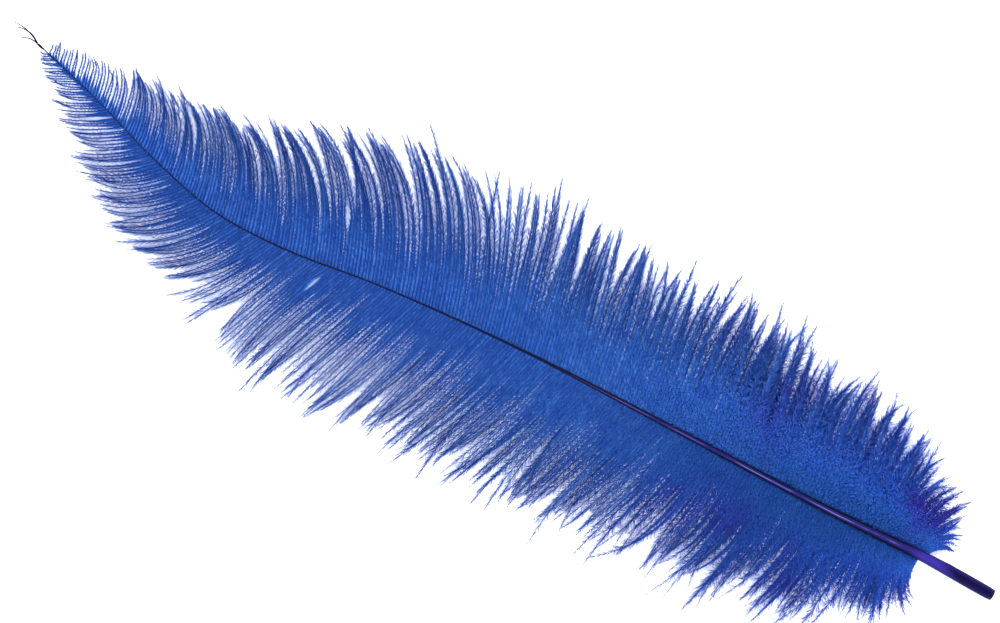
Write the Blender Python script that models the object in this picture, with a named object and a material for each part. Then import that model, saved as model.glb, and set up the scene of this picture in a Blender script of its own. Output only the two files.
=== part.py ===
"""An ostrich feather lying flat: one grown shaft between two vanes of loose barbs.

Metres, +Z up. The chord from the tip of the shaft to the cut end of the quill runs along +X. The
feather lies on its underside: the shaft arches a little above the surface, and on each side the
barbs leave it, swell up slightly and droop until their outer parts lie on the surface. Each vane is
one thin crowned sheet that reaches the tips of its barbs. The origin is at the middle of the
underside of the feather's box.
"""

import math

import bmesh
import bpy
import numpy as np
from mathutils import Vector

MM = 0.001

# The shaft, from its tip (0) to the cut end of the quill, in millimetres.
LENGTH = 380.0
END_HEIGHT = 2.4  # of the shaft's centreline above the surface, at both ends
ARCH_RISE = 7.5  # how much higher the middle of the shaft lies
SHAFT_STEP = 5.0  # between the rings of the shaft
SHAFT_RESOLUTION = 3  # of its round section

# Its centreline seen from above: the distance along the chord and the distance to the right of it.
SHAFT_COURSE = (
    (0, 0.0),
    (10, -1.8),
    (36, -7.7),
    (62, -15.0),
    (92, -20.4),
    (112, -19.6),
    (150, -13.7),
    (200, -8.4),
    (260, -5.3),
    (320, -2.6),
    (355, -0.1),
    (380, 0.4),
)

# Its radius, from the hair-thin tip to the round quill.
SHAFT_RADIUS = (
    (0, 0.12),
    (10, 0.18),
    (60, 0.28),
    (139, 0.38),
    (184, 0.50),
    (252, 0.85),
    (322, 1.30),
    (350, 1.70),
    (368, 2.10),
    (380, 2.05),
)

# A vane's guide barbs: where the barb leaves the shaft, how long it is, and the directions in which
# it leaves and ends, in degrees from the chord. Every barb between them follows a circular arc.
LEFT_GUIDES = (
    (18, 6, 114, 118),
    (28, 10.5, 104, 125),
    (39, 16, 94, 140),
    (58, 24.5, 94, 150),
    (82, 33, 98, 155),
    (108, 42, 106, 156),
    (130, 48.5, 109, 157),
    (147, 52, 109, 155),
    (162, 54.5, 108, 151),
    (174, 55.5, 107, 146),
    (184, 55, 106, 135),
    (193, 54, 105, 118),
    (202, 53, 105, 104),
    (217, 52, 105, 104),
    (234, 50.5, 101, 99),
    (252, 50, 102, 94),
    (272, 49.5, 97, 91),
    (292, 48, 105, 95),
    (311, 45, 98, 91),
    (330, 37, 93, 80),
    (343, 28, 87, 58),
    (350, 18, 74, 30),
    (354, 12, 62, -25),
)
RIGHT_GUIDES = (
    (18, 7, -156, -158),
    (27, 11.5, -150, -165),
    (36, 16, -145, -168),
    (58, 25.5, -135, -168),
    (80, 32, -125, -168),
    (92, 35, -118, -165),
    (110, 37.5, -112, -146),
    (126, 43, -111, -111.5),
    (146, 51, -110, -111),
    (165, 51.5, -105, -110),
    (186, 51.5, -103, -112),
    (206, 52, -102, -122),
    (226, 51.5, -106, -102),
    (245, 50.5, -105, -104),
    (262, 49, -102, -110),
    (277, 47.5, -92, -105),
    (297, 45.7, -86, -117),
    (314, 41, -84, -115),
    (324, 37.5, -86, -100),
    (338, 29, -80, -76),
    (349, 17.5, -70, -46),
    (352, 12, -68, -36),
)

# The sheet that stands for each vane.
VANE_THICKNESS = 3.0  # beside the shaft
EDGE_THICKNESS = 1.0  # at the tips of the barbs
FULL_BARB = 30.0  # a vane thins out where its barbs are shorter than this
VANE_GAP = 0.35  # between the sheet and the shaft
CROWN_RISE = 2.0  # how far the barbs swell up before they droop
LANDING = 0.6  # the share of a barb's length after which it lies on the surface
VANE_STATIONS = 72  # cells along the shaft
VANE_REACHES = 8  # cells along a barb
SHARP_ANGLE = 40.0

SHAFT_COLOUR = (0.030, 0.022, 0.150, 1.0)
BARB_COLOUR = (0.030, 0.090, 0.380, 1.0)


def along(keys, place, column=1):
    """The smooth curve through one column of the keys, read at a place."""
    x = np.array([key[0] for key in keys], float)
    y = np.array([key[column] for key in keys], float)
    slope = np.gradient(y, x)
    i = int(np.clip(np.searchsorted(x, place) - 1, 0, len(x) - 2))
    span = x[i + 1] - x[i]
    t = (place - x[i]) / span
    return (
        (1 + 2 * t) * (1 - t) ** 2 * y[i]
        + t * (1 - t) ** 2 * span * slope[i]
        + t * t * (3 - 2 * t) * y[i + 1]
        - t * t * (1 - t) * span * slope[i + 1]
    )


def shaft_point(place):
    """The shaft's centreline at a distance along the chord."""
    rise = ARCH_RISE * math.sin(math.pi * place / LENGTH)
    return Vector((place, along(SHAFT_COURSE, place), END_HEIGHT + rise))


def shaft_heading(place):
    """The direction of the shaft seen from above, in radians from the chord."""
    step = 0.5
    ahead = shaft_point(min(place + step, LENGTH)) - shaft_point(max(place - step, 0))
    return math.atan2(ahead.y, ahead.x)


def sheet_thickness(reach, fullness):
    """The thickness of a vane at a share of the barb's length."""
    return EDGE_THICKNESS + (VANE_THICKNESS - EDGE_THICKNESS) * (1 - reach) * fullness


def sheet_height(reach, root_height, fullness):
    """How high the underside of a vane lies at a share of the barb's length."""
    if reach >= LANDING:
        return 0.0
    share = reach / LANDING
    start = root_height - sheet_thickness(0, fullness) / 2
    droop = start * (1 - share * share * (3 - 2 * share))
    return droop + CROWN_RISE * fullness * math.sin(math.pi * share) ** 2


def barb_point(guides, side, place, reach):
    """The underside of a vane along the barb at a place, and the thickness of the vane there."""
    length = along(guides, place, 1)
    fullness = min(length / FULL_BARB, 1.0)
    start = math.radians(along(guides, place, 2))
    turn = math.radians(along(guides, place, 3)) - start
    root = shaft_point(place)
    offset = side * (along(SHAFT_RADIUS, place) + VANE_GAP)
    heading = shaft_heading(place)
    x = root.x - offset * math.sin(heading)
    y = root.y + offset * math.cos(heading)
    x += length * (math.sin(start + turn * reach) - math.sin(start)) / turn
    y -= length * (math.cos(start + turn * reach) - math.cos(start)) / turn
    under = Vector((x, y, sheet_height(reach, root.z, fullness)))
    return under, sheet_thickness(reach, fullness)


def material(name, colour, roughness):
    """A plain Principled material."""
    made = bpy.data.materials.new(name)
    made.use_nodes = True
    shader = made.node_tree.nodes["Principled BSDF"]
    shader.inputs["Base Color"].default_value = colour
    shader.inputs["Roughness"].default_value = roughness
    shader.inputs["Metallic"].default_value = 0.0
    return made


def make_shaft(collection, finish):
    """The quill and the rachis: one round tapering rod with a cut end."""
    course = bpy.data.curves.new("shaft", "CURVE")
    course.dimensions = "3D"
    course.bevel_depth = MM
    course.bevel_resolution = SHAFT_RESOLUTION
    course.resolution_u = 1
    course.render_resolution_u = 0
    course.use_fill_caps = True
    places = np.linspace(0, LENGTH, round(LENGTH / SHAFT_STEP) + 1)
    spline = course.splines.new("POLY")
    spline.points.add(len(places) - 1)
    for point, place in zip(spline.points, places):
        point.co = (*(shaft_point(place) * MM), 1)
        point.radius = along(SHAFT_RADIUS, place)
    shaft = bpy.data.objects.new("shaft", course)
    course.materials.append(finish)
    collection.objects.link(shaft)
    return shaft


def make_vane(name, guides, side, collection, finish):
    """One vane: a sheet laid along its barbs, then extruded upwards by its thickness."""
    body = bmesh.new()
    bmesh.ops.create_grid(body, x_segments=VANE_STATIONS, y_segments=VANE_REACHES, size=1)
    copied = bmesh.ops.extrude_face_region(body, geom=body.faces[:], use_keep_orig=True)
    tops = {item for item in copied["geom"] if isinstance(item, bmesh.types.BMVert)}
    first, last = guides[0][0], guides[-1][0]
    for corner in body.verts:
        place = first + (last - first) * (corner.co.x + 1) / 2
        reach = (corner.co.y + 1) / 2
        under, thickness = barb_point(guides, side, place, reach)
        lift = Vector((0, 0, thickness if corner in tops else 0))
        corner.co = (under + lift) * MM
    bmesh.ops.recalc_face_normals(body, faces=body.faces)
    mesh = bpy.data.meshes.new(name)
    body.to_mesh(mesh)
    body.free()
    mesh.materials.append(finish)
    mesh.shade_smooth()
    mesh.set_sharp_from_angle(angle=math.radians(SHARP_ANGLE))
    vane = bpy.data.objects.new(name, mesh)
    collection.objects.link(vane)
    return vane


def centre(feather):
    """Moves the feather so that the origin is at the middle of its box's underside."""
    bpy.context.view_layer.update()
    seen = bpy.context.evaluated_depsgraph_get()
    low = np.full(3, np.inf)
    high = -low
    for piece in feather.children:
        shape = piece.evaluated_get(seen)
        corners = np.array([corner.co for corner in shape.to_mesh().vertices])
        shape.to_mesh_clear()
        low = np.minimum(low, corners.min(0))
        high = np.maximum(high, corners.max(0))
    middle = (low + high) / 2
    feather.location = (-middle[0], -middle[1], -low[2])


def main():
    for thing in list(bpy.data.objects):
        bpy.data.objects.remove(thing)
    collection = bpy.data.collections.new("ostrich_feather")
    bpy.context.scene.collection.children.link(collection)
    keratin = material("keratin", SHAFT_COLOUR, 0.35)
    flue = material("flue", BARB_COLOUR, 0.75)
    feather = bpy.data.objects.new("feather", None)
    collection.objects.link(feather)
    pieces = (
        make_shaft(collection, keratin),
        make_vane("vane_left", LEFT_GUIDES, 1, collection, flue),
        make_vane("vane_right", RIGHT_GUIDES, -1, collection, flue),
    )
    for piece in pieces:
        piece.parent = feather
    centre(feather)


main()
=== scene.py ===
"""The looks of a dyed ostrich plume that lies on its underside on a pale floor.

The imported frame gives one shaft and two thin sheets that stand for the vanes. Here the shaft is
modelled again with its channel, ridges and hollow cut end, and each vane is grown barb by barb: a
tapering stem, a row of fine barbules on both sides of it, and under it a flat web that stands for the
barbules where they lie close, near the shaft. Lengths are in millimetres along the plume's chord
until a piece is finished, and in metres in its mesh.
"""

import logging
import math
from dataclasses import dataclass
from enum import Enum
from typing import Callable

import bpy
import numpy as np
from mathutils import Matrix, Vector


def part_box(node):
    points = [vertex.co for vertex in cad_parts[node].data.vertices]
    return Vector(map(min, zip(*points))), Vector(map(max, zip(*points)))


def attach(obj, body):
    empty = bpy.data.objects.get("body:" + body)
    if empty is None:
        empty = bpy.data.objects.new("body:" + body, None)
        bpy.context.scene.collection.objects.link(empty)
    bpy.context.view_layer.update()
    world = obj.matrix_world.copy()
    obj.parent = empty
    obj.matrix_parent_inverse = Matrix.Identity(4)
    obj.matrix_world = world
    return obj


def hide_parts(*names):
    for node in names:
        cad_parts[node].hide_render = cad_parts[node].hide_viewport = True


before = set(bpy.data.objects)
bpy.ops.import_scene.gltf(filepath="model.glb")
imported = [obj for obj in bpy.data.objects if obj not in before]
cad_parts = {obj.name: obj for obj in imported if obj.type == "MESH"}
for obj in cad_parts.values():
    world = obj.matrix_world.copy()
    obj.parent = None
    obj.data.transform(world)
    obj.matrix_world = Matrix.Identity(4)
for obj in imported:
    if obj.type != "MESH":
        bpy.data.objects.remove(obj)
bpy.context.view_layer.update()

MM = 0.001
GROWTH = "growth"  # the attribute that stores three numbers at each point of a piece
BAKE_MAP = "OFBake"
UP = np.array([0.0, 0.0, 1.0])
FLOOR_SOFTNESS = 0.25
FLOOR_CLEARANCE = 0.02
LOG = logging.getLogger("plume")
Colour = tuple[float, float, float, float]
Rows = tuple[tuple[float, ...], ...]
Profile = Callable[[np.ndarray, np.ndarray], np.ndarray]


# --- Smooth values and directions -------------------------------------------------------------


def eased(low: float, high: float, value: np.ndarray) -> np.ndarray:
    """Rises smoothly from 0 at low to 1 at high.

    Args:
        low: Where the rise begins.
        high: Where the rise ends.
        value: The places to read.

    Returns:
        A value from 0 to 1 for each place.
    """
    share = np.clip((value - low) / (high - low), 0.0, 1.0)
    return share * share * (3.0 - 2.0 * share)


def unit(vectors: np.ndarray) -> np.ndarray:
    """The vectors at length one."""
    size = np.linalg.norm(vectors, axis=-1, keepdims=True)
    return vectors / np.maximum(size, 1e-9)


def swelling(place: np.ndarray, middle: float, width: float) -> np.ndarray:
    """A rounded bump of height one."""
    return np.exp(-(((place - middle) / width) ** 2))


def above_floor(height: np.ndarray) -> np.ndarray:
    """Heights eased so that none is below the floor and what lies on it keeps its thickness."""
    return 0.5 * (height + np.sqrt(height * height + FLOOR_SOFTNESS**2)) + FLOOR_CLEARANCE


@dataclass(frozen=True)
class Keys:
    """A smooth curve through a few set values."""

    rows: Rows

    def read(self, place: np.ndarray, column: int = 1) -> np.ndarray:
        """Reads one column of the curve.

        Args:
            place: Where to read it.
            column: Which value of the rows to read.

        Returns:
            The value at each place.
        """
        x = np.array([row[0] for row in self.rows], float)
        y = np.array([row[column] for row in self.rows], float)
        slope = np.gradient(y, x)
        i = np.clip(np.searchsorted(x, place) - 1, 0, len(x) - 2)
        span = x[i + 1] - x[i]
        t = np.clip((place - x[i]) / span, 0.0, 1.0)
        return (
            (1 + 2 * t) * (1 - t) ** 2 * y[i]
            + t * (1 - t) ** 2 * span * slope[i]
            + t * t * (3 - 2 * t) * y[i + 1]
            - t * t * (1 - t) * span * slope[i + 1]
        )

    def span(self) -> tuple[float, float]:
        """The first and the last place of the curve."""
        return self.rows[0][0], self.rows[-1][0]


@dataclass(frozen=True)
class Waves:
    """A value that wanders along the shaft: a few waves with seeded starts."""

    seed: int
    lengths: tuple[float, ...] = (31.0, 17.0, 9.5, 5.3)

    def read(self, place: np.ndarray) -> np.ndarray:
        """Reads the wandering value.

        Args:
            place: Where to read it.

        Returns:
            The value at each place, mostly between -1 and 1.
        """
        starts = np.random.default_rng(self.seed).uniform(0, math.tau, len(self.lengths))
        waves = [np.sin(math.tau * place / size + start) for size, start in zip(self.lengths, starts)]
        return np.sum(waves, axis=0) / math.sqrt(len(self.lengths))


# --- The shaft's course, which every piece follows ---------------------------------------------


@dataclass(frozen=True)
class Course:
    """The shaft's centreline and radius, from its tip at 0 to the cut end of the quill."""

    length: float = 380.0
    end_height: float = 2.4
    arch_rise: float = 7.5
    bend: Keys = Keys((
        (0, 0.0), (10, -1.8), (36, -7.7), (62, -15.0), (92, -20.4), (112, -19.6),
        (150, -13.7), (200, -8.4), (260, -5.3), (320, -2.6), (355, -0.1), (380, 0.4),
    ))
    thickness: Keys = Keys((
        (0, 0.12), (10, 0.18), (60, 0.28), (139, 0.38), (184, 0.50),
        (252, 0.85), (322, 1.30), (350, 1.70), (368, 2.10), (380, 2.05),
    ))

    def point(self, place: np.ndarray) -> np.ndarray:
        """The centreline at each place, in millimetres."""
        rise = self.arch_rise * np.sin(math.pi * place / self.length)
        return np.stack([place, self.bend.read(place), self.end_height + rise], -1)

    def heading(self, place: np.ndarray) -> np.ndarray:
        """The centreline's direction.

        Args:
            place: Where to read it.

        Returns:
            A vector of length one towards the quill, for each place.
        """
        ahead = np.clip(place + 0.5, 0, self.length)
        behind = np.clip(place - 0.5, 0, self.length)
        return unit(self.point(ahead) - self.point(behind))

    def radius(self, place: np.ndarray) -> np.ndarray:
        """The shaft's radius at each place."""
        return self.thickness.read(place)

    def shift(self) -> np.ndarray:
        """From the plume's own millimetres to the frame's metres: how far its origin is moved.

        Returns:
            The vector that is added, in metres.
        """
        place = np.linspace(0, self.length, 400)
        centre, radius = self.point(place), self.radius(place)
        low, high = (np.array(corner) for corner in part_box("shaft"))
        across = [(centre[:, 1] - radius).min(), (centre[:, 1] + radius).max()]
        middle = np.array([self.length / 2, sum(across) / 2, 0.0]) * MM
        return (low + high) / 2 * (1, 1, 0) - middle


COURSE = Course()


# --- Shaders written as expressions --------------------------------------------------------------


class Value:
    """A number on its way through a shader; arithmetic on it adds Math nodes."""

    def __init__(self, nodes: "Nodes", socket: bpy.types.NodeSocket) -> None:
        """Holds a socket and the nodes that it belongs to."""
        self.nodes = nodes
        self.socket = socket

    def _with(self, operation: str, *values: "Value | float", swap: bool = False) -> "Value":
        """One Math node on this value and others.

        Args:
            operation: The node's operation.
            values: The other inputs.
            swap: Whether this value comes second.

        Returns:
            The node's result.
        """
        inputs = [self, *values]
        if swap:
            inputs.reverse()
        made = self.nodes.add("ShaderNodeMath", {"operation": operation}, dict(enumerate(inputs)))
        return Value(self.nodes, made.outputs[0])

    def __add__(self, other: "Value | float") -> "Value":
        """The sum."""
        return self._with("ADD", other)

    def __sub__(self, other: "Value | float") -> "Value":
        """The difference."""
        return self._with("SUBTRACT", other)

    def __rsub__(self, other: float) -> "Value":
        """A number less this value."""
        return self._with("SUBTRACT", other, swap=True)

    def __mul__(self, other: "Value | float") -> "Value":
        """The product."""
        return self._with("MULTIPLY", other)

    __radd__ = __add__
    __rmul__ = __mul__

    def size(self) -> "Value":
        """This value without its sign."""
        return self._with("ABSOLUTE")

    def rise(self, low: float, high: float) -> "Value":
        """Eases from 0 at low to 1 at high, or the other way round where low is larger.

        Args:
            low: Where the result is 0.
            high: Where the result is 1.

        Returns:
            A value from 0 to 1.
        """
        falls = low > high
        ends = {1: min(low, high), 2: max(low, high), 3: float(falls), 4: float(not falls)}
        smooth = {"interpolation_type": "SMOOTHSTEP"}
        made = self.nodes.add("ShaderNodeMapRange", smooth, {0: self, **ends})
        return Value(self.nodes, made.outputs[0])


@dataclass
class Nodes:
    """The node tree of one material."""

    material: bpy.types.Material

    def add(self, kind: str, settings: dict | None = None, values: dict | None = None) -> bpy.types.Node:
        """Adds a node.

        Args:
            kind: The node's type.
            settings: Its settings, which are made first.
            values: Values or links, by the name or number of the input.

        Returns:
            The new node.
        """
        made = self.material.node_tree.nodes.new(kind)
        for name, setting in (settings or {}).items():
            setattr(made, name, setting)
        for name, value in (values or {}).items():
            self.feed(made.inputs[name], value)
        return made

    def feed(self, socket: bpy.types.NodeSocket, value: object) -> None:
        """Links a value or a socket to an input, or sets a plain number or colour on it.

        Args:
            socket: The input.
            value: What it gets.
        """
        if isinstance(value, Value):
            value = value.socket
        if isinstance(value, bpy.types.NodeSocket):
            self.material.node_tree.links.new(value, socket)
        else:
            socket.default_value = value

    def place(self) -> bpy.types.NodeSocket:
        """The place on the piece, in the object's own metres."""
        return self.add("ShaderNodeTexCoord").outputs["Object"]

    def split(self, vector: bpy.types.NodeSocket) -> tuple[Value, Value, Value]:
        """The three numbers of a vector."""
        parts = self.add("ShaderNodeSeparateXYZ", None, {0: vector}).outputs
        return Value(self, parts[0]), Value(self, parts[1]), Value(self, parts[2])

    def growth(self) -> tuple[Value, Value, Value]:
        """The three numbers that each piece stores at its points."""
        made = self.add("ShaderNodeAttribute", {"attribute_name": GROWTH})
        return self.split(made.outputs["Vector"])

    def noise(self, vector: bpy.types.NodeSocket, scale: float, detail: float = 2.0) -> Value:
        """A soft noise.

        Args:
            vector: The place that it is read at.
            scale: How many waves a metre has.
            detail: How many finer layers it has.

        Returns:
            The noise, around one half.
        """
        values = {"Vector": vector, "Scale": scale, "Detail": detail}
        made = self.add("ShaderNodeTexNoise", None, values)
        return Value(self, made.outputs[0])

    def stretch(self, vector: bpy.types.NodeSocket, scale: tuple[float, ...]) -> bpy.types.NodeSocket:
        """The vector with each of its numbers multiplied."""
        return self.add("ShaderNodeMapping", None, {"Vector": vector, "Scale": scale}).outputs[0]

    def mix(self, share: "Value | float", first: object, second: object) -> bpy.types.NodeSocket:
        """A blend of two colours.

        Args:
            share: How much of the second colour there is.
            first: The first colour, or its socket.
            second: The second colour, or its socket.

        Returns:
            The blended colour.
        """
        settings = {"data_type": "RGBA", "clamp_factor": True}
        return self.add("ShaderNodeMix", settings, {0: share, 6: first, 7: second}).outputs[2]


def start_material(name: str, plain: dict[str, object]) -> tuple[Nodes, bpy.types.Node]:
    """A new material with a Principled node.

    Args:
        name: The material's name.
        plain: Values that are the same all over, by the node's input.

    Returns:
        The material's nodes and its Principled node.
    """
    material = bpy.data.materials.new(name)
    material.use_nodes = True
    shader = material.node_tree.nodes["Principled BSDF"]
    for socket, value in plain.items():
        shader.inputs[socket].default_value = value
    return Nodes(material), shader


@dataclass(frozen=True)
class FlueFinish:
    """Dyed barbs and barbules: royal blue, darker stems with painted shade at the barbules' roots, ends paled
    with painted light, and teal and violet at the base.
    """

    # partly the stems' own darker dye, partly painted shade for the stems and the barbule roots beside them
    stem: Colour = (0.006, 0.022, 0.190, 1.0)
    deep: Colour = (0.027, 0.115, 0.545, 1.0)
    royal: Colour = (0.043, 0.168, 0.635, 1.0)
    bright: Colour = (0.083, 0.265, 0.760, 1.0)
    base: Colour = (0.038, 0.130, 0.710, 1.0)
    violet: Colour = (0.052, 0.030, 0.510, 1.0)
    teal: Colour = (0.036, 0.190, 0.620, 1.0)
    # painted light: the pale colour of thin barbule ends lit through from behind
    tip_light_colour: Colour = (0.160, 0.250, 0.780, 1.0)
    patch_scale: float = 34.0
    streak_scale: float = 160.0
    dullness: float = 0.5

    def make(self) -> bpy.types.Material:
        """The finished material."""
        nodes, shader = start_material("dyed flue", {"Specular IOR Level": 0.04})
        reach, tint, flue = nodes.growth()
        place = nodes.place()
        along = nodes.split(place)[0]
        patches = nodes.noise(place, self.patch_scale, 3.0)
        streaks = nodes.noise(place, self.streak_scale, 2.0)
        light = 0.3 + (tint - 0.5) * 0.8 + streaks * 0.6
        colour = nodes.mix(light.rise(0.2, 0.6), self.deep, self.royal)
        colour = nodes.mix(light.rise(0.55, 1.0), colour, self.bright)
        colour = nodes.mix(along.rise(0.03, 0.15) * 0.8, colour, self.base)
        close = (0.55 - reach + (patches - 0.5)).rise(0.1, 0.4)
        colour = nodes.mix(along.rise(0.03, 0.12) * close * 0.5, colour, self.teal)
        stained = patches.rise(0.47, 0.64) * along.rise(0.02, 0.16) * (0.35 + 0.6 * reach.rise(0.1, 0.45))
        fringe = reach.rise(0.6, 1.0) * 0.15
        colour = nodes.mix(stained + fringe, colour, self.violet)
        # painted shade mixed with darker dye: the stems and the roots of the barbules are darkened
        colour = nodes.mix((1.0 - flue.rise(0.0, 0.35)) * 0.9, colour, self.stem)
        # painted light: barbule ends further out are paled as if lit through from the white floor
        colour = nodes.mix(flue.rise(0.4, 1.0) * reach.rise(0.2, 0.9) * 0.55, colour, self.tip_light_colour)
        nodes.feed(shader.inputs["Base Color"], colour)
        nodes.feed(shader.inputs["Roughness"], self.dullness + 0.35 * streaks)
        return nodes.material


@dataclass(frozen=True)
class KeratinFinish:
    """The dyed shaft: a violet channel, flanks darkened with painted shade, a thin painted highlight along
    the middle, and a nearly black quill end.
    """

    # painted shade: the dark colour that the shaft's flanks fade to
    edge_shade: Colour = (0.002, 0.002, 0.018, 1.0)
    channel: Colour = (0.012, 0.010, 0.115, 1.0)
    # painted highlight: the colour of a thin light line along the middle of the rachis
    highlight_colour: Colour = (0.180, 0.170, 0.480, 1.0)
    quill: Colour = (0.028, 0.018, 0.220, 1.0)
    dark_end: Colour = (0.002, 0.001, 0.030, 1.0)
    grain_scale: float = 900.0
    cloud_scale: float = 90.0
    dullness: float = 0.34
    relief: float = 0.0001

    def make(self) -> bpy.types.Material:
        """The finished material."""
        nodes, shader = start_material("dyed keratin", {"Specular IOR Level": 0.05})
        share, across, lift = nodes.growth()
        place = nodes.place()
        grain = nodes.noise(nodes.stretch(place, (0.04, 1.0, 1.0)), self.grain_scale, 2.0)
        cloud = nodes.noise(place, self.cloud_scale, 2.0)
        # painted shade: the rachis darkens from its middle towards both flanks
        middle = (across.size() + (grain - 0.5) * 0.35).rise(0.62, 0.30)
        rachis = nodes.mix(middle * share.rise(0.55, 0.74), self.edge_shade, self.channel)
        # painted highlight: a thin, broken light line beside the middle of the rachis
        highlight_mask = (across + 0.08 + (cloud - 0.5) * 0.3).size().rise(0.16, 0.03) * cloud.rise(0.35, 0.6)
        rachis = nodes.mix(highlight_mask * share.rise(0.55, 0.68) * 0.8, rachis, self.highlight_colour)
        bare = (share + (cloud - 0.5) * 0.02).rise(0.905, 0.935)
        # painted shade: the quill darkens towards its flanks
        quill = nodes.mix(across.size().rise(0.5, 0.95) * 0.6, self.quill, self.edge_shade)
        colour = nodes.mix(bare, rachis, quill)
        end = (share + (cloud - 0.5) * 0.03 + across * 0.006).rise(0.943, 0.965)
        colour = nodes.mix(end * (0.72 + 0.28 * middle), colour, self.dark_end)
        nodes.feed(shader.inputs["Base Color"], colour)
        nodes.feed(shader.inputs["Roughness"], self.dullness + 0.22 * grain)
        relief = {"Strength": 0.35, "Distance": self.relief, "Height": grain}
        nodes.feed(shader.inputs["Normal"], nodes.add("ShaderNodeBump", None, relief).outputs[0])
        return nodes.material


@dataclass(frozen=True)
class FloorFinish:
    """A white table top with a faint cool glow, which lights the gaps between fibres from below."""

    white: Colour = (0.93, 0.93, 0.94, 1.0)
    shade: Colour = (0.91, 0.91, 0.92, 1.0)
    light: Colour = (0.70, 0.80, 1.0, 1.0)
    glow: float = 0.42
    cloud_scale: float = 3.0

    def make(self) -> bpy.types.Material:
        """The finished material."""
        plain = {"Roughness": 0.8, "Specular IOR Level": 0.1}
        plain.update({"Emission Color": self.light, "Emission Strength": self.glow})
        nodes, shader = start_material("white table", plain)
        cloud = nodes.noise(nodes.place(), self.cloud_scale)
        nodes.feed(shader.inputs["Base Color"], nodes.mix(cloud, self.white, self.shade))
        return nodes.material


# --- Fibres: one is modelled, the others are its copies -------------------------------------------


@dataclass(frozen=True)
class Pattern:
    """A modelled fibre, read back as points and triangles; it runs along +X from 0 to 1."""

    points: np.ndarray
    triangles: np.ndarray

    @staticmethod
    def read(model: bpy.types.Object) -> "Pattern":
        """Reads a finished model and removes it.

        Args:
            model: The modelled fibre, of triangles only.

        Returns:
            Its points and triangles.
        """
        mesh = model.data
        points = np.empty(len(mesh.vertices) * 3, np.float32)
        mesh.vertices.foreach_get("co", points)
        triangles = np.empty(len(mesh.polygons) * 3, np.int32)
        mesh.polygons.foreach_get("vertices", triangles)
        bpy.data.objects.remove(model)
        return Pattern(points.reshape(-1, 3), triangles.reshape(-1, 3))


def start_rod(sides: int) -> bpy.types.Object:
    """Adds a disc of radius one that faces +X, in edit mode with its face selected.

    Args:
        sides: How many corners the disc has.

    Returns:
        The new object.
    """
    bpy.ops.object.select_all(action="DESELECT")
    towards_x = (0, math.pi / 2, 0)
    bpy.ops.mesh.primitive_circle_add(vertices=sides, radius=1.0, fill_type="NGON", rotation=towards_x)
    bpy.ops.object.transform_apply(location=True, rotation=True, scale=True)
    bpy.ops.object.mode_set(mode="EDIT")
    bpy.ops.mesh.select_all(action="SELECT")
    return bpy.context.active_object


def finish_rod(rod: bpy.types.Object) -> bpy.types.Object:
    """Turns every face outwards, cuts them into triangles and leaves edit mode.

    Args:
        rod: The object in edit mode.

    Returns:
        The same object.
    """
    bpy.ops.mesh.select_all(action="SELECT")
    bpy.ops.mesh.normals_make_consistent(inside=False)
    bpy.ops.mesh.quads_convert_to_tris()
    bpy.ops.object.mode_set(mode="OBJECT")
    return rod


def model_stem(rings: int = 14) -> Pattern:
    """A barb's stem: a four-sided rod, extruded ring by ring and closed to a point.

    Args:
        rings: How many stretches it has.

    Returns:
        The stem, one long and two across.
    """
    rod = start_rod(4)
    for _ in range(rings):
        bpy.ops.mesh.extrude_region_move(TRANSFORM_OT_translate={"value": (1.0 / rings, 0, 0)})
    bpy.ops.mesh.merge(type="CENTER")
    return Pattern.read(finish_rod(rod))


def model_barbule(shoulder: float = 0.35) -> Pattern:
    """A barbule: a three-sided spike whose two lower corners are moved along it, as in a blade.

    Args:
        shoulder: Where it is widest, as a share of its length.

    Returns:
        The barbule, one long and two across.
    """
    bpy.ops.object.select_all(action="DESELECT")
    bpy.ops.mesh.primitive_cone_add(
        vertices=3, radius1=1.0, radius2=0.0, depth=1.0, location=(0.5, 0, 0), rotation=(0, math.pi / 2, 0)
    )
    blade = bpy.context.active_object
    bpy.ops.object.transform_apply(location=True, rotation=True, scale=True)
    bpy.ops.object.mode_set(mode="EDIT")
    bpy.ops.mesh.select_all(action="SELECT")
    bpy.ops.transform.rotate(value=-math.pi / 2, orient_axis="X", center_override=(0, 0, 0))
    bpy.ops.mesh.select_all(action="DESELECT")
    bpy.ops.object.mode_set(mode="OBJECT")
    for corner in sorted(blade.data.vertices, key=lambda vertex: vertex.co.z)[:2]:
        corner.select = True
    bpy.ops.object.mode_set(mode="EDIT")
    bpy.ops.transform.translate(value=(shoulder, 0, 0))
    return Pattern.read(finish_rod(blade))


@dataclass
class Tuft:
    """Copies of a pattern, ready to be joined: their points, faces, stored numbers and bake map."""

    points: np.ndarray
    triangles: np.ndarray
    growth: np.ndarray
    chart: np.ndarray

    @staticmethod
    def of(pattern: Pattern, points: np.ndarray, growth: np.ndarray, chart: np.ndarray) -> "Tuft":
        """Copies a pattern.

        Args:
            pattern: The fibre that is copied.
            points: The places of each copy's points.
            growth: The numbers that each point stores.
            chart: Each point's place on the bake map.

        Returns:
            The copies in one tuft.
        """
        copies, corners = points.shape[:2]
        first = (np.arange(copies, dtype=np.int32) * corners)[:, None, None]
        triangles = (pattern.triangles[None] + first).reshape(-1, 3)
        return Tuft(points.reshape(-1, 3), triangles, growth.reshape(-1, 3), chart.reshape(-1, 2))


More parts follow.
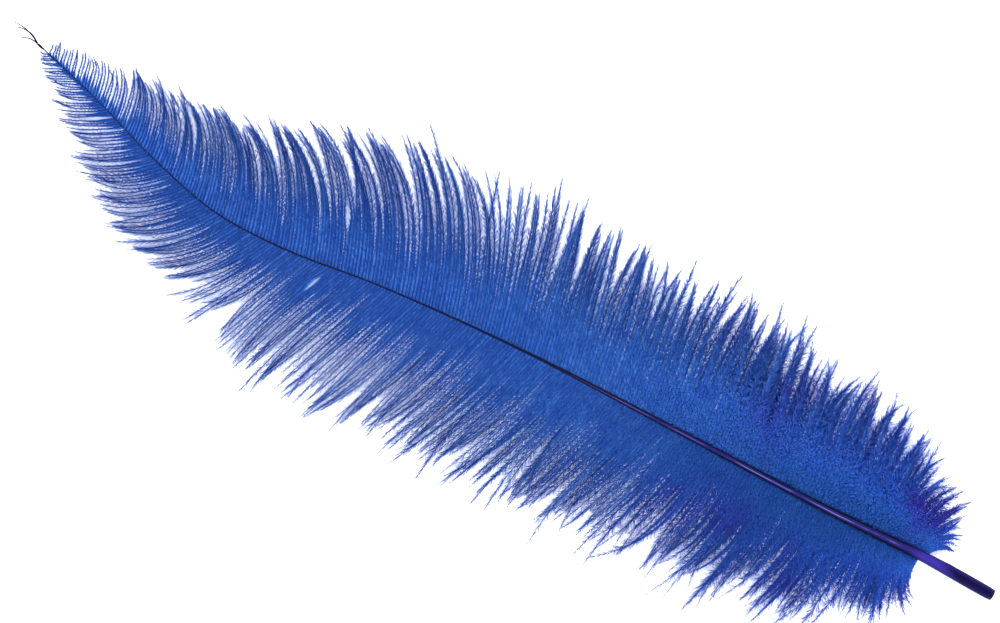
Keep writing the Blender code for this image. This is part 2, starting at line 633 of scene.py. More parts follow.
def join_tufts(name: str, tufts: list[Tuft], material: bpy.types.Material) -> bpy.types.Object:
    """Joins tufts into one finished piece that rides on the plume.

    Args:
        name: The piece's name.
        tufts: What it is made of, in millimetres.
        material: Its finish.

    Returns:
        The piece, with its place in its mesh.
    """
    starts = np.cumsum([0] + [len(tuft.points) for tuft in tufts[:-1]])
    points = np.concatenate([tuft.points for tuft in tufts]) * MM + COURSE.shift()
    triangles = np.concatenate([tuft.triangles + start for tuft, start in zip(tufts, starts)])
    growth = np.concatenate([tuft.growth for tuft in tufts])
    chart = np.concatenate([tuft.chart for tuft in tufts])
    mesh = bpy.data.meshes.new(name)
    mesh.vertices.add(len(points))
    mesh.vertices.foreach_set("co", points.astype(np.float32).ravel())
    mesh.loops.add(triangles.size)
    mesh.loops.foreach_set("vertex_index", triangles.astype(np.int32).ravel())
    mesh.polygons.add(len(triangles))
    mesh.polygons.foreach_set("loop_start", np.arange(0, triangles.size, 3, dtype=np.int32))
    mesh.update(calc_edges=True)
    mesh.shade_smooth()
    stored = mesh.attributes.new(GROWTH, "FLOAT_VECTOR", "POINT")
    stored.data.foreach_set("vector", growth.astype(np.float32).ravel())
    layer = mesh.uv_layers.new(name=BAKE_MAP, do_init=False)
    layer.uv.foreach_set("vector", chart[triangles.ravel()].astype(np.float32).ravel())
    mesh.materials.append(material)
    piece = bpy.data.objects.new(name, mesh)
    bpy.context.scene.collection.objects.link(piece)
    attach(piece, "root")
    LOG.info("%s: %d triangles", name, len(triangles))
    return piece


# --- The vanes -------------------------------------------------------------------------------------


class Side(Enum):
    """On which side of the shaft a vane grows, seen from above and from the tip towards the quill."""

    LEFT = 1
    RIGHT = -1


class Zone(Enum):
    """The stretches that a vane's fibres are joined in, by the share of its barbs."""

    TIP = (0.0, 0.36)
    MIDDLE = (0.36, 0.66)
    BASE = (0.66, 1.0)


@dataclass
class Barbs:
    """The centrelines of one vane's barbs and the directions across and above each of them."""

    lines: np.ndarray
    place: np.ndarray
    length: np.ndarray
    tint: np.ndarray
    twist: np.ndarray

    def __post_init__(self) -> None:
        """Works out each line's directions."""
        self.ahead = unit(np.gradient(self.lines, axis=1))
        across = unit(np.cross(np.broadcast_to(UP, self.ahead.shape), self.ahead))
        above = np.cross(self.ahead, across)
        turn = self.twist[:, :, None]
        self.across = np.cos(turn) * across + np.sin(turn) * above
        self.above = np.cos(turn) * above - np.sin(turn) * across

    def read(self, barb: np.ndarray, reach: np.ndarray, *fields: np.ndarray) -> list[np.ndarray]:
        """Reads fields between their stations.

        Args:
            barb: The barb of each reading.
            reach: The share of the barb's length.
            fields: Arrays with a row for each barb and a column for each station.

        Returns:
            One array for each field.
        """
        spot = np.clip(reach, 0, 1) * (self.lines.shape[1] - 1)
        low = np.minimum(spot.astype(int), self.lines.shape[1] - 2)
        part = (spot - low)[:, None]
        return [values[barb, low] * (1 - part) + values[barb, low + 1] * part for values in fields]


@dataclass(frozen=True)
class Rod:
    """A long closed blade on a barb: the stem itself, or the close web of barbules beside it.

    Its middle lies at the depth under the barb's line, and further by the sink where the vane is
    downy. The column values place it on the bake map, as shares of its barb's own strip.
    """

    height: float
    shade: float
    depth: float = 0.0
    sink: float = 0.0
    reach: float = 1.0
    column: float = 0.44
    column_width: float = 0.05


# a stem's third growth number of 0 gives it the full dark stem colour, which is part dye and part painted
# shade
STEM = Rod(height=0.12, shade=0.0, depth=-0.09, sink=0.1)
WEB = Rod(height=0.05, shade=0.55, depth=0.3, sink=0.45, reach=0.96, column=0.93)
BUNCHES = 9973  # how many bunches of barbules are drawn at random before they are used again
BUNCH_STEP = 97  # from one barb's first bunch to the next one's
BED = 0.2  # how far barbs may sink below the room that is kept for the barbules under them
BED_ROOM = 0.25
LAST_BARBULE = 0.985  # the share of a barb's length after which it has none
CHART_MARGIN = 0.004
CHART_RUN = 0.992
CHART_RISE = 0.003


@dataclass(frozen=True)
class Roots:
    """Where barbs leave the shaft: from under it where it is thin, then from its top, then its flanks.

    Drops and insets are shares of the shaft's radius, and the tuck is in millimetres.
    """

    thin: tuple[float, float] = (100, 180)
    thick: tuple[float, float] = (190, 300)
    rise: float = 0.3
    thick_drop: float = 0.45
    thin_drop: float = 0.7
    inset: float = 0.45
    thick_spread: float = 0.45
    tuck: float = 0.45

    def points(self, place: np.ndarray, side: Side) -> np.ndarray:
        """The points where barbs leave the shaft.

        Args:
            place: Where each barb leaves it.
            side: The side that the barbs grow on.

        Returns:
            The points in millimetres.
        """
        thin = 1 - eased(*self.thin, place)
        thick = eased(*self.thick, place)
        points, radius, ahead = COURSE.point(place), COURSE.radius(place), COURSE.heading(place)
        out = np.stack([-ahead[:, 1], ahead[:, 0]], -1) * side.value
        inset = radius * (self.inset + self.thick_spread * thick) - self.tuck * thin
        depth = self.rise - self.thick_drop * thick - self.thin_drop * thin
        points[:, :2] = points[:, :2] + out * inset[:, None]
        points[:, 2] = points[:, 2] + radius * depth
        return points


@dataclass
class Vane:
    """One side of the plume: its guide barbs and how its barbs gather, droop and fray.

    Each guide gives where a barb leaves the shaft, its length, and the directions in which it
    leaves and ends, in degrees from the chord. Each parting gives the place where barbs spread, by
    how many degrees, and how quickly that fades along the shaft. Each gap gives the middle of a
    small hole, half its width and half its length. Turns are in degrees, and two bare numbers in a
    call of eased are shares of a barb's length.
    """

    name: str
    side: Side
    guides: Keys
    seed: int
    partings: Rows
    gaps: Rows = ()
    spacing: float = 1.2
    crowding: float = 0.6
    crowded: tuple[float, float] = (318, 358)
    stations: int = 30
    wander: float = 3.0
    drift: float = 1.2
    group_turn: float = 2.4
    strand_turn: float = 2.2
    curl: float = 4.5
    frizz: float = 5.0
    group_size: tuple[int, int] = (4, 10)
    strand_size: tuple[int, int] = (1, 4)
    strand_grip: tuple[float, float] = (0.1, 0.75)
    group_grip: tuple[float, float] = (0.0, 0.25)
    stray_share: float = 0.14
    stray_turn: float = 12.0
    length_spread: float = 0.05
    gap_softness: float = 2.2
    crown_rise: float = 3.0
    landing: float = 0.85
    layers: float = 0.7
    free_to_bound: tuple[float, float] = (5, 45)
    barbule_gap: float = 0.225
    barbule_length: Keys = Keys((
        (0, 1.25), (0.1, 1.35), (0.3, 1.6), (0.5, 2.3), (0.7, 2.8), (0.85, 2.3), (0.94, 1.4), (1.0, 0.5),
    ))
    barbule_angle: Keys = Keys(((0, 44), (0.3, 38), (0.6, 32), (0.85, 27), (1.0, 20)))
    barbule_width: Keys = Keys(((0, 0.13), (0.25, 0.12), (0.42, 0.085), (0.65, 0.055), (1.0, 0.048)))
    stem: Keys = Keys(((0, 0.21), (0.2, 0.2), (0.5, 0.18), (0.8, 0.16), (0.93, 0.10), (1.0, 0.04)))
    shingle: float = 0.26
    web_root: float = 0.9
    web_tip: float = 0.18
    web_share: float = 1.0
    weight: Keys = Keys((
        (0, 0.95), (60, 1.05), (120, 1.15), (180, 1.25), (230, 1.6), (285, 1.5), (356, 1.2),
    ))
    web_reach: Keys = Keys((
        (0, 0.26), (60, 0.3), (110, 0.34), (200, 0.34), (250, 0.39), (300, 0.58), (356, 0.75),
    ))
    bunch: float = 1.1
    fluff: Keys = Keys(((0, 0.05), (180, 0.05), (240, 0.35), (300, 1.0), (356, 1.0)))

    def groups(self, count: int, sizes: tuple[int, int], random: np.random.Generator) -> np.ndarray:
        """Deals neighbouring barbs into groups.

        Args:
            count: How many barbs there are.
            sizes: The smallest group and one more than the largest.
            random: The source of the groups' sizes.

        Returns:
            Each barb's group.
        """
        drawn = random.integers(*sizes, count)
        return np.repeat(np.arange(count), drawn)[:count]

    def gather(
        self,
        lines: np.ndarray,
        group: np.ndarray,
        start: np.ndarray,
        run: float,
        grip: np.ndarray,
        hold: np.ndarray,
    ) -> None:
        """Draws each group's barbs together towards their tips.

        Args:
            lines: The barbs' centrelines, which are changed.
            group: Each barb's group.
            start: For each group, the share of the length where it begins to close.
            run: Over what share of the length it closes.
            grip: For each group, how closely its tips come together.
            hold: For each barb, how much of that it follows.
        """
        reach = np.linspace(0, 1, lines.shape[1])
        for number in range(group.max() + 1):
            member = group == number
            pull = eased(start[number], start[number] + run, reach) * grip[number]
            middle = lines[member].mean(0)
            lines[member] += np.outer(hold[member], pull)[:, :, None] * (middle - lines[member])

    def spread(self, random: np.random.Generator) -> np.ndarray:
        """Spreads the barbs' roots along the shaft, closer together near the quill.

        Args:
            random: The source of how unevenly they stand.

        Returns:
            Where each barb leaves the shaft.
        """
        first, last = self.guides.span()
        fine = np.linspace(first, last, 2000)
        gap = self.spacing - self.crowding * eased(*self.crowded, fine)
        passed = np.cumsum(np.gradient(fine) / gap)
        place = np.interp(np.arange(passed[0], passed[-1]), passed, fine)
        return np.clip(place + random.normal(0, 0.12, len(place)), first, last)

    def heading(self, place: np.ndarray, reach: np.ndarray, random: np.random.Generator) -> np.ndarray:
        """The barbs' directions seen from above, at each station.

        Args:
            place: Where each barb leaves the shaft.
            reach: The stations, as shares of the barb's length.
            random: The source of what differs from barb to barb.

        Returns:
            Angles from the chord, in radians.
        """
        start, end = self.guides.read(place, 2)[:, None], self.guides.read(place, 3)[:, None]
        angle = start + (end - start) * reach**1.3
        fray = eased(0.25, 1.0, reach)
        wander = self.wander * (1 - 0.6 * self.fluff.read(place)) * Waves(self.seed).read(place)
        angle = angle + wander[:, None] * fray
        angle = angle + random.normal(0, self.drift, (len(place), 1)) * reach
        stray = random.random(len(place)) < self.stray_share
        angle = angle + (stray * random.normal(0, self.stray_turn, len(place)))[:, None] * fray
        for centre, degrees, width in self.partings:
            apart = (place - centre) / width
            bend = -np.sign(apart) * np.exp(-np.abs(apart)) * degrees * self.side.value
            angle = angle + bend[:, None] * fray
        return np.radians(angle)

    def height(
        self, root: np.ndarray, place: np.ndarray, reach: np.ndarray, random: np.random.Generator
    ) -> np.ndarray:
        """How high each barb lies at each station.

        Args:
            root: How high each barb leaves the shaft.
            place: Where it leaves the shaft.
            reach: The stations, as shares of the barb's length.
            random: The source of what differs from barb to barb.

        Returns:
            Heights in millimetres.
        """
        full = np.clip(self.guides.read(place, 1) / 30.0, 0.2, 1.0)
        share = np.clip(reach / self.landing, 0, 1)
        droop = root[:, None] * (1 - eased(0, 1, share))
        crown = (self.crown_rise * full)[:, None] * np.sin(math.pi * share) ** 2
        lift = np.abs(random.normal(0, self.layers, len(place))) + (1 + Waves(self.seed + 7).read(place))
        return droop + crown + (lift * full)[:, None] * eased(0.3, 0.95, reach) * (1 - 0.35 * reach**4)

    def open_gaps(self, lines: np.ndarray) -> None:
        """Pushes barbs aside where the vane has a small hole.

        Args:
            lines: The barbs' centrelines, which are changed.
        """
        ahead = unit(np.gradient(lines[:, :, :2], axis=1))
        across = np.stack([-ahead[:, :, 1], ahead[:, :, 0]], -1)
        for x, y, half_width, half_length in self.gaps:
            offset = lines[:, :, :2] - (x, y)
            beside = (offset * across).sum(-1)
            along = (offset * ahead).sum(-1)
            near = np.exp(-((beside / (self.gap_softness * half_width)) ** 2) - (along / half_length) ** 2)
            push = np.sign(beside) * half_width * near
            lines[:, :, :2] += across * push[:, :, None]

    def grow(self) -> Barbs:
        """Grows the barbs' centrelines.

        Returns:
            The barbs, in millimetres.
        """
        random = np.random.default_rng(self.seed)
        place = self.spread(random)
        count = len(place)
        reach = np.linspace(0, 1, self.stations)
        group = self.groups(count, self.group_size, random)
        strand = self.groups(count, self.strand_size, random)
        fluff = self.fluff.read(place)
        angle = self.heading(place, reach, random)
        turns = (
            (group, self.group_turn, 0.3, 1.0),
            (strand, self.strand_turn, 0.2, 0.9),
            (strand, self.curl, 0.5, 1.0),
        )
        for kin, degrees, start, end in turns:
            angle += np.radians(random.normal(0, degrees, count)[kin])[:, None] * eased(start, end, reach)
        frizz = np.radians(random.normal(0, self.frizz, (count, 1))) * eased(0.5, 1.0, reach)
        angle += frizz * (1 + 1.5 * fluff)[:, None]
        uneven = random.normal(0, self.length_spread, count) * (1 + 0.6 * fluff)
        length = self.guides.read(place, 1) * (1 + uneven)
        length *= 1 + random.normal(0, self.length_spread, count)[strand]
        step = length / (self.stations - 1)
        runs = (angle[:, 1:] + angle[:, :-1]) / 2
        roots = Roots().points(place, self.side)
        lines = np.zeros((count, self.stations, 3))
        lines[:, 1:, 0] = np.cumsum(np.cos(runs) * step[:, None], 1)
        lines[:, 1:, 1] = np.cumsum(np.sin(runs) * step[:, None], 1)
        lines[:, :, :2] += roots[:, None, :2]
        lines[:, :, 2] = self.height(roots[:, 2], place, reach, random)
        lines[:, :, 2] += random.normal(0, self.layers, count)[strand][:, None] * eased(0.3, 0.9, reach)
        hold = eased(*self.free_to_bound, length) * (1 - 0.8 * fluff)
        for kin, run, grips in ((group, 0.6, self.group_grip), (strand, 0.45, self.strand_grip)):
            start = random.uniform(0.2, 0.55, count)
            self.gather(lines, kin, start, run, random.uniform(*grips, count), hold)
        self.open_gaps(lines)
        lines[:, :, 2] = above_floor(lines[:, :, 2] - BED) + BED_ROOM
        twist = (self.shingle * (1 - 0.6 * fluff))[:, None] + random.normal(0, 0.05, (count, 1))
        twist = twist + random.normal(0, 0.4, (count, 1)) * eased(0.3, 1.0, reach)
        tint = np.clip(random.normal(0.5, 0.2, count)[strand] + random.normal(0, 0.08, count), 0, 1)
        return Barbs(lines, place, length, tint, twist)

    def tint(self, barbs: Barbs, barb: np.ndarray, reach: np.ndarray) -> np.ndarray:
        """How light the dye is: even near the shaft, and different from strand to strand further out."""
        return 0.5 + (barbs.tint[barb] - 0.5) * (0.25 + 0.75 * eased(0.3, 0.7, reach))

    def stem_width(self, place: np.ndarray, reach: np.ndarray) -> np.ndarray:
        """Half the width of the barbs' stems, which the downy base hides."""
        return self.stem.read(reach) * (1 - 0.6 * self.fluff.read(place))

    def web_width(self, place: np.ndarray, reach: np.ndarray) -> np.ndarray:
        """Half the width of the close web of barbules, which is broad only near the shaft.

        Args:
            place: Where each barb leaves the shaft.
            reach: The share of its length.

        Returns:
            Half the width at each place and reach.
        """
        uneven = 0.95 + 0.45 * Waves(self.seed + 3, (23.0, 11.0, 4.7, 3.1, 2.3)).read(place)
        close = 1 - eased(0.25, 1.8, reach / (self.web_share * self.web_reach.read(place) * uneven))
        full = np.clip(self.guides.read(place, 1) / 40.0, 0.35, 1.0)
        outer = self.web_tip * full
        inner = self.web_root * (0.5 + 0.5 * full)
        return (outer + (inner - outer) * close) * (1 - 0.9 * eased(0.7, 0.96, reach))

    def rods(self, barbs: Barbs, chosen: np.ndarray, pattern: Pattern, rod: Rod, half_width: Profile) -> Tuft:
        """Lays one rod along each chosen barb.

        Args:
            barbs: The vane's barbs.
            chosen: The numbers of the barbs that get one.
            pattern: The modelled rod.
            rod: Its thickness, depth and shade.
            half_width: Gives half its width from the places and the reaches on the barbs.

        Returns:
            The rods.
        """
        reach = pattern.points[:, 0].astype(float)
        count, corners = len(chosen), len(reach)
        barb = np.repeat(chosen, corners)
        spot = np.tile(reach, count) * rod.reach
        width = half_width(barbs.place[barb], spot)[:, None]
        middle, across, above = barbs.read(barb, spot, barbs.lines, barbs.across, barbs.above)
        side = np.tile(pattern.points[:, 1], count)[:, None]
        top = np.tile(pattern.points[:, 2], count)[:, None]
        height = (rod.height * (1 - 0.75 * spot))[:, None]
        depth = (rod.depth + rod.sink * self.fluff.read(barbs.place[barb]))[:, None]
        points = middle + across * side * width + above * (top * height - depth)
        points[:, 2] = above_floor(points[:, 2])
        column = np.repeat(np.arange(count), corners)
        growth = np.stack([spot, self.tint(barbs, barb, spot), np.full(len(spot), rod.shade)], -1)
        wide = (rod.column + rod.column_width * side[:, 0] + column) / count
        chart = np.stack([wide, CHART_MARGIN + CHART_RUN * spot + CHART_RISE * top[:, 0]], -1)
        shape = (count, corners, -1)
        return Tuft.of(pattern, points.reshape(shape), growth.reshape(shape), chart.reshape(shape))

    def barbules(
        self,
        barbs: Barbs,
        chosen: np.ndarray,
        column: np.ndarray,
        reach: np.ndarray,
        way: float,
        pattern: Pattern,
        random: np.random.Generator,
    ) -> Tuft:
        """Sets the barbules on one side of the chosen barbs.

        Args:
            barbs: The vane's barbs.
            chosen: The numbers of the barbs that get them.
            column: For each barbule, which of the chosen barbs it stands on.
            reach: For each barbule, the share of the barb's length where it stands.
            way: 1 for the barb's left side and -1 for its right side.
            pattern: The modelled barbule.
            random: The source of what differs from barbule to barbule.

        Returns:
            The barbules.
        """
        barb = chosen[column]
        fields = (barbs.lines, barbs.ahead, barbs.across, barbs.above)
        middle, ahead, across, above = barbs.read(barb, reach, *fields)
        fluff = self.fluff.read(barbs.place[barb])
        full = np.clip(barbs.length[barb] / 34.0, 0.4, 1.0) * (1 + 0.5 * fluff * (1 - eased(0.6, 1.0, reach)))
        size = self.barbule_length.read(reach) * full * random.uniform(0.6, 1.3, len(reach))
        run = reach * barbs.length[barb] / self.bunch + random.random(len(chosen))[column]
        bunch = (column * BUNCH_STEP + run.astype(int)) % BUNCHES
        spray = random.normal(0, 5, BUNCHES)[bunch] * (1 + 0.6 * eased(0.4, 0.9, reach))
        lean = np.radians(self.barbule_angle.read(reach) + spray)
        lean += 0.75 * (run % 1 - 0.5) * self.bunch * np.sin(lean) / size
        lean += np.radians(random.normal(0, 4, len(reach)) * (1 + 5 * fluff) - 4 * fluff)
        lift = random.normal(-3, 9, BUNCHES)[bunch] + random.normal(0, 9, len(reach)) * (1 + 2 * fluff)
        lift = np.radians(lift)
        out = way * across * np.cos(lift)[:, None] + above * np.sin(lift)[:, None]
        axis = unit(ahead * np.cos(lean)[:, None] + out * np.sin(lean)[:, None])
        wide = unit(np.cross(axis, above))
        thick = np.cross(wide, axis)
        width = self.weight.read(barbs.place[barb]) * self.barbule_width.read(reach)
        width = width * (1 + 0.9 * fluff * eased(0.0, 0.4, reach) * (1 - eased(0.55, 0.95, reach)))
        shape = pattern.points.astype(float)
        points = (
            middle[:, None]
            + axis[:, None] * (shape[:, 0] * size[:, None])[:, :, None]
            + wide[:, None] * (shape[:, 1] * width[:, None])[:, :, None]
            + thick[:, None] * (shape[:, 2] * width[:, None])[:, :, None]
        )
        points[:, :, 2] = above_floor(points[:, :, 2])
        tip = np.broadcast_to(shape[:, 0], points.shape[:2])
        spot = np.broadcast_to(reach[:, None], points.shape[:2])
        shade = np.clip(self.tint(barbs, barb, reach) + random.normal(0, 0.2, BUNCHES)[bunch], 0, 1)
        tint = np.broadcast_to(shade[:, None], points.shape[:2])
        # the third number runs from a barbule's root to its tip: the finish darkens the roots with painted
        # shade and pales the ends with painted light
        growth = np.stack([spot, tint, 0.15 + 0.85 * tip], -1)
        wide_place = (column[:, None] + STEM.column + way * (0.08 + 0.32 * tip)) / len(chosen)
        long_place = CHART_MARGIN + CHART_RUN * spot + CHART_RISE * shape[:, 1] * (1 - tip)
        return Tuft.of(pattern, points, growth, np.stack([wide_place, long_place], -1))

    def flue(
        self, barbs: Barbs, chosen: np.ndarray, pattern: Pattern, random: np.random.Generator
    ) -> list[Tuft]:
        """Sets barbules along both sides of each chosen barb.

        Args:
            barbs: The vane's barbs.
            chosen: The numbers of the barbs that get them.
            pattern: The modelled barbule.
            random: The source of what differs from barbule to barbule.

        Returns:
            The barbules of either side.
        """
        counts = np.maximum((barbs.length[chosen] / self.barbule_gap).astype(int), 4)
        column = np.repeat(np.arange(len(chosen)), counts)
        first = np.repeat(np.cumsum(counts) - counts, counts)
        order = np.arange(counts.sum()) - first
        reach = (order + random.uniform(0.1, 0.9, len(order))) / counts[column] * LAST_BARBULE
        tufts = []
        for way in (1.0, -1.0):
            tufts.append(self.barbules(barbs, chosen, column, reach, way, pattern, random))
            nudge = random.uniform(-0.4, 0.4, len(reach)) / counts[column]
            reach = np.clip(reach + nudge, 0, LAST_BARBULE)
        return tufts

    def build(self, stem: Pattern, barbule: Pattern, finish: bpy.types.Material) -> None:
        """Builds the vane in place of its solid, a piece for each zone.

        Args:
            stem: The modelled stem.
            barbule: The modelled barbule.
            finish: The finish of the fibres.
        """
        barbs = self.grow()
        random = np.random.default_rng(self.seed + 1)
        for zone in Zone:
            low, high = (round(share * len(barbs.place)) for share in zone.value)
            chosen = np.arange(low, high)
            tufts = [
                self.rods(barbs, chosen, stem, STEM, self.stem_width),
                self.rods(barbs, chosen, stem, WEB, self.web_width),
                *self.flue(barbs, chosen, barbule, random),
            ]
            piece = join_tufts(f"{self.name}_barbs_{zone.name.lower()}", tufts, finish)
            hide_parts(self.name)


LEFT_VANE = Vane(
    name="vane_left",
    side=Side.LEFT,
    guides=Keys((
        (15, 5, 118, 112), (28, 10.5, 104, 125), (39, 16, 94, 140), (58, 24.5, 94, 150),
        (82, 33, 98, 155), (108, 42, 106, 156), (130, 48.5, 109, 157), (147, 52, 109, 155),
        (162, 54.5, 108, 151), (174, 55.5, 107, 146), (184, 55, 106, 135), (193, 54, 105, 118),
        (202, 53, 105, 104), (217, 52, 105, 104), (234, 50.5, 101, 99), (252, 50, 102, 94),
        (272, 49.5, 97, 91), (292, 48, 105, 95), (311, 45, 98, 91), (330, 37, 93, 80),
        (343, 28, 87, 58), (350, 18, 74, 30), (354, 12, 62, -25),
    )),
    seed=11,
    partings=((63, 5, 4), (152, 3, 4), (180, 4, 4), (213, 6, 5), (236, 4, 4), (258, 4, 4), (300, 3, 4)),
    gaps=((129, 1.7, 0.9, 4.0), (196, 30.0, 0.7, 7.0), (232, 31.0, 0.8, 7.0), (62, 2.0, 0.6, 5.0)),
)
RIGHT_VANE = Vane(
    name="vane_right",
    side=Side.RIGHT,
    guides=Keys((
        (15, 5, -158, -155), (27, 11.5, -150, -165), (36, 16, -145, -168), (58, 25.5, -135, -168),
        (80, 32, -125, -168), (92, 35, -118, -165), (110, 37.5, -112, -146), (126, 43, -111, -111),
        (146, 51, -110, -111), (165, 51.5, -105, -110), (186, 51.5, -103, -112), (206, 52, -102, -122),
        (226, 51.5, -106, -102), (245, 50.5, -105, -105), (262, 49, -102, -110), (277, 47.5, -92, -105),
        (297, 45.7, -86, -117), (314, 41, -84, -115), (324, 37.5, -86, -100), (338, 29, -80, -76),
        (349, 19.5, -84, -38), (352, 15.5, -96, -10),
    )),
    seed=23,
    partings=((48, 4, 4), (75, 4, 4), (120, 3, 4), (172, 3, 4), (246, 4, 4), (303, 4, 4)),
    gaps=((39, -13.4, 0.45, 5.0), (130, -24.0, 0.9, 3.0)),
    group_turn=1.6,
    strand_turn=1.2,
    strand_grip=(0.0, 0.35),
    group_grip=(0.0, 0.15),
    web_tip=0.05,
    web_share=0.88,
    weight=Keys(((0, 0.95), (90, 1.02), (170, 0.97), (230, 1.2), (285, 0.9), (356, 1.1))),
)


# --- The shaft --------------------------------------------------------------------------------------


@dataclass
class Shaft:
    """The quill and rachis: a rod with a channel along its top and a hollow cut end.

    The knot at the tip and the scars on the quill each give their place, width and height; a scar
    also says on which side it is. The rim and the wall are shares of the radius, and two bare numbers
    in a call of eased are places along the shaft.
    """

    start: float = 8.4
    sides: int = 24
    rings: int = 190
    rim: float = 0.03
    wall: float = 0.16
    hollow: float = 7.0
    hollow_rings: int = 3
    squareness: float = 1.4
    channel_depth: float = 0.34
    channel_width: float = 0.42
    flatness: float = 0.92
    worn_edge: float = 0.06
    knot: tuple[float, float, float] = (9.8, 0.9, 0.4)
    scars: Rows = ((362.5, 1.4, 0.10, 1), (357.5, 1.0, 0.05, -1))

    def model(self) -> Pattern:
        """The rod along +X, one long and two across, with its end bored out."""
        rod = start_rod(self.sides)
        for _ in range(self.rings):
            bpy.ops.mesh.extrude_region_move(TRANSFORM_OT_translate={"value": (1.0 / self.rings, 0, 0)})
        bpy.ops.mesh.inset(thickness=self.rim, depth=0.0)
        bpy.ops.mesh.inset(thickness=self.wall, depth=0.0)
        for _ in range(self.hollow_rings):
            inwards = -self.hollow / COURSE.length / self.hollow_rings
            bpy.ops.mesh.extrude_region_move(TRANSFORM_OT_translate={"value": (inwards, 0, 0)})
        return Pattern.read(finish_rod(rod))

    def radius(self, place: np.ndarray) -> np.ndarray:
        """The rod's radius: closed at its start, slim in its middle, and with a knot at the tip.

        Args:
            place: Where to read it.

        Returns:
            The radius at each place.
        """
        middle, width, height = self.knot
        radius = COURSE.radius(place) * (0.1 + 0.9 * eased(self.start, self.start + 0.8, place))
        radius = radius * (0.75 + 0.25 * eased(150, 260, place)) + 0.10 * (1 - eased(11, 22, place))
        return radius + height * swelling(place, middle, width)

    def lay(self, shape: np.ndarray) -> tuple[np.ndarray, np.ndarray]:
        """Lays the rod along the course and gives its section its real outline.

        Args:
            shape: The rod's points.

        Returns:
            The points in millimetres, and each point's share of the length, side and top.
        """
        side, top = shape[:, 1], shape[:, 2]
        place = self.start + shape[:, 0] * (COURSE.length - self.start)
        share = place / COURSE.length
        rachis = eased(40, 90, place) * (1 - eased(338, 358, place))
        power = 2 + self.squareness * rachis
        around = np.arctan2(top, side)
        full = (np.abs(np.cos(around)) ** power + np.abs(np.sin(around)) ** power) ** (-1 / power)
        outline = np.hypot(side, top) * full
        radius = self.radius(place)
        scar = np.zeros(len(place))
        for middle, width, height, way in self.scars:
            scar = scar + height * swelling(place, middle, width) * np.clip(way * side, 0, 1)
        y = outline * np.cos(around) * (radius + scar)
        z = outline * np.sin(around) * radius * self.flatness
        ends = 1 - self.worn_edge * eased(379.3, 380.0, place) ** 2 * (np.hypot(side, top) > 0.9)
        channel = self.channel_depth * radius * rachis * eased(110, 230, place)
        z = np.where(top > 0, z - channel * np.exp(-((side / self.channel_width) ** 2)), z)
        ahead = COURSE.heading(place)
        across = unit(np.cross(UP, ahead))
        above = np.cross(ahead, across)
        points = COURSE.point(place) + across * (y * ends)[:, None] + above * (z * ends)[:, None]
        return points, np.stack([share, side, top], -1)

    def build(self, finish: bpy.types.Material) -> None:
        """Builds the shaft in place of its solid.

        Args:
            finish: The finish of the keratin.
        """
        pattern = self.model()
        points, growth = self.lay(pattern.points.astype(float))
        around = np.arctan2(growth[:, 2], growth[:, 1]) / math.tau + 0.5
        inner = np.hypot(growth[:, 1], growth[:, 2])
        chart = np.stack([0.01 + 0.98 * growth[:, 0], 0.02 + 0.9 * around * inner], -1)
        tuft = Tuft.of(pattern, points[None], growth[None], chart[None])
        piece = join_tufts("shaft_quill", [tuft], finish)
        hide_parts("shaft")


@dataclass
class TipHairs:
    """The few bare hairs past the kink at the shaft's tip.

    Each hair gives where it leaves the shaft, its length, the directions in which it leaves and
    ends, in degrees from the chord, and how far its end rises.
    """

    hairs: Rows = (
        (9.4, 10.6, 140, 205, -1.2),
        (9.2, 11.6, 145, 190, 0.6),
        (8.8, 4.5, 130, 170, 1.4),
        (9.4, 7.0, 160, 222, -0.4),
    )
    width: float = 0.24
    taper: float = 0.12
    tint: float = 0.3
    stations: int = 26

    def half_width(self, place: np.ndarray, reach: np.ndarray) -> np.ndarray:
        """Half the width of a hair, the same at every place and less towards its end."""
        return self.width - self.taper * reach**2

    def build(self, stem: Pattern, finish: bpy.types.Material) -> None:
        """Builds the hairs.

        Args:
            stem: The modelled stem.
            finish: The finish of the keratin.
        """
        reach = np.linspace(0, 1, self.stations)
        rows = np.array(self.hairs, float)
        count = len(rows)
        angle = np.radians(rows[:, 2:3] + (rows[:, 3:4] - rows[:, 2:3]) * reach)
        step = (rows[:, 1] / (self.stations - 1))[:, None]
        lines = np.zeros((count, self.stations, 3))
        lines[:, 1:, 0] = np.cumsum(np.cos(angle[:, 1:]) * step, 1)
        lines[:, 1:, 1] = np.cumsum(np.sin(angle[:, 1:]) * step, 1)
        lines += COURSE.point(rows[:, 0])[:, None]
        lines[:, :, 2] += np.outer(rows[:, 4], reach**2)
        twist = np.zeros((count, self.stations))
        barbs = Barbs(lines, rows[:, 0], rows[:, 1], np.full(count, self.tint), twist)
        tuft = LEFT_VANE.rods(barbs, np.arange(count), stem, STEM, self.half_width)
        join_tufts("tip_hairs", [tuft], finish)


# --- The studio -------------------------------------------------------------------------------------


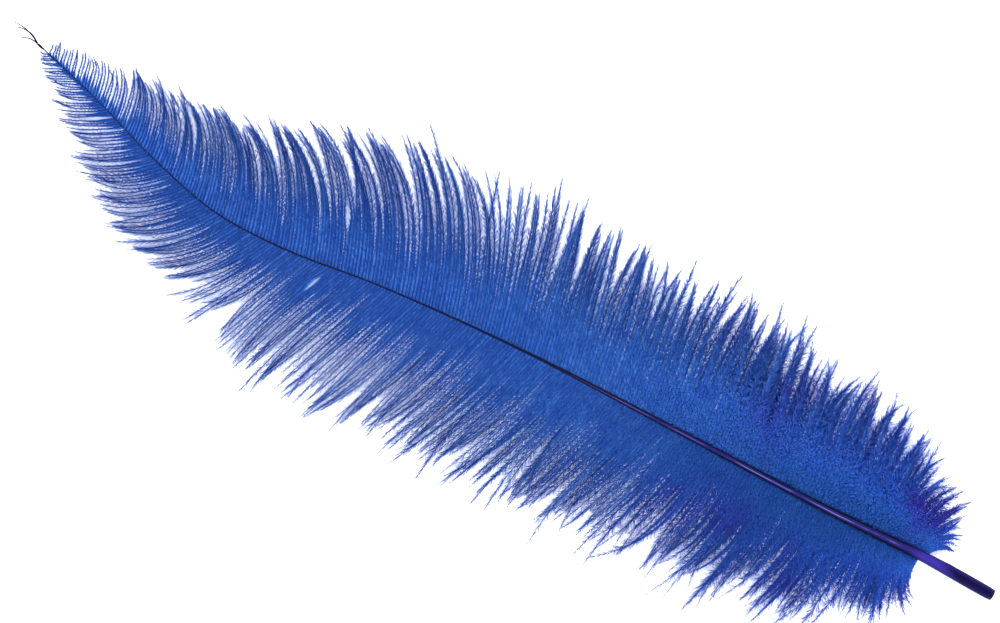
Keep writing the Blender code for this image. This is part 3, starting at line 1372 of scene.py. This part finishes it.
@dataclass(frozen=True)
class SoftLight:
    """A soft square light that faces the plume: its place and width in metres, its power in watts."""

    name: str
    place: tuple[float, float, float]
    size: float
    power: float

    def hang(self) -> None:
        """Hangs the light."""
        lamp = bpy.data.lights.new(self.name, "AREA")
        lamp.size = self.size
        lamp.energy = self.power
        light = bpy.data.objects.new(self.name, lamp)
        bpy.context.scene.collection.objects.link(light)
        light.location = self.place
        away = light.location.normalized()
        light.rotation_euler = away.to_track_quat("Z", "Y").to_euler()


@dataclass
class Studio:
    """The pale floor, the soft lights and the camera straight above the plume."""

    floor_size: float = 6.0
    lights: tuple[SoftLight, ...] = (
        SoftLight("key", (-0.5, 0.7, 1.3), 0.9, 22.0),
        SoftLight("fill", (0.9, -0.5, 1.1), 1.2, 9.0),
    )
    roll: float = 30.32
    view_width: float = 0.3354
    aim: tuple[float, float, float] = (188.9, -0.85, 5.0)
    lens: float = 85.0
    sensor: float = 36.0

    def lay_floor(self) -> None:
        """A broad white table top under the plume."""
        bpy.ops.mesh.primitive_plane_add(size=self.floor_size, location=(0, 0, 0))
        floor = bpy.context.active_object
        floor.name = "floor"
        floor.data.materials.append(FloorFinish().make())

    def set_up(self) -> None:
        """Lays the floor, hangs the lights, fills in the sky and places the camera."""
        self.lay_floor()
        for light in self.lights:
            light.hang()
        scene = bpy.context.scene
        scene.world = bpy.data.worlds.new("studio")
        scene.world.use_nodes = True
        sky = scene.world.node_tree.nodes["Background"]
        sky.inputs["Color"].default_value = (1.0, 1.0, 1.0, 1.0)
        sky.inputs["Strength"].default_value = 1.0
        scene.view_settings.view_transform = "Standard"
        camera = bpy.data.cameras.new("camera")
        camera.lens = self.lens
        camera.sensor_width = self.sensor
        distance = self.view_width * self.lens / self.sensor
        seat = bpy.data.objects.new("camera", camera)
        scene.collection.objects.link(seat)
        seat.location = COURSE.shift() + np.array(self.aim) * MM + (0.0, 0.0, distance)
        seat.rotation_euler = (0.0, 0.0, math.radians(self.roll))
        scene.camera = seat


def main() -> None:
    """Builds the plume's pieces in order and sets up the studio."""
    logging.basicConfig(level=logging.INFO, format="%(message)s")
    stem, barbule = model_stem(), model_barbule()
    keratin, flue = KeratinFinish().make(), FlueFinish().make()
    Shaft().build(keratin)
    for vane in (LEFT_VANE, RIGHT_VANE):
        vane.build(stem, barbule, flue)
    TipHairs().build(stem, keratin)
    Studio().set_up()


if __name__ == "__main__":
    main()
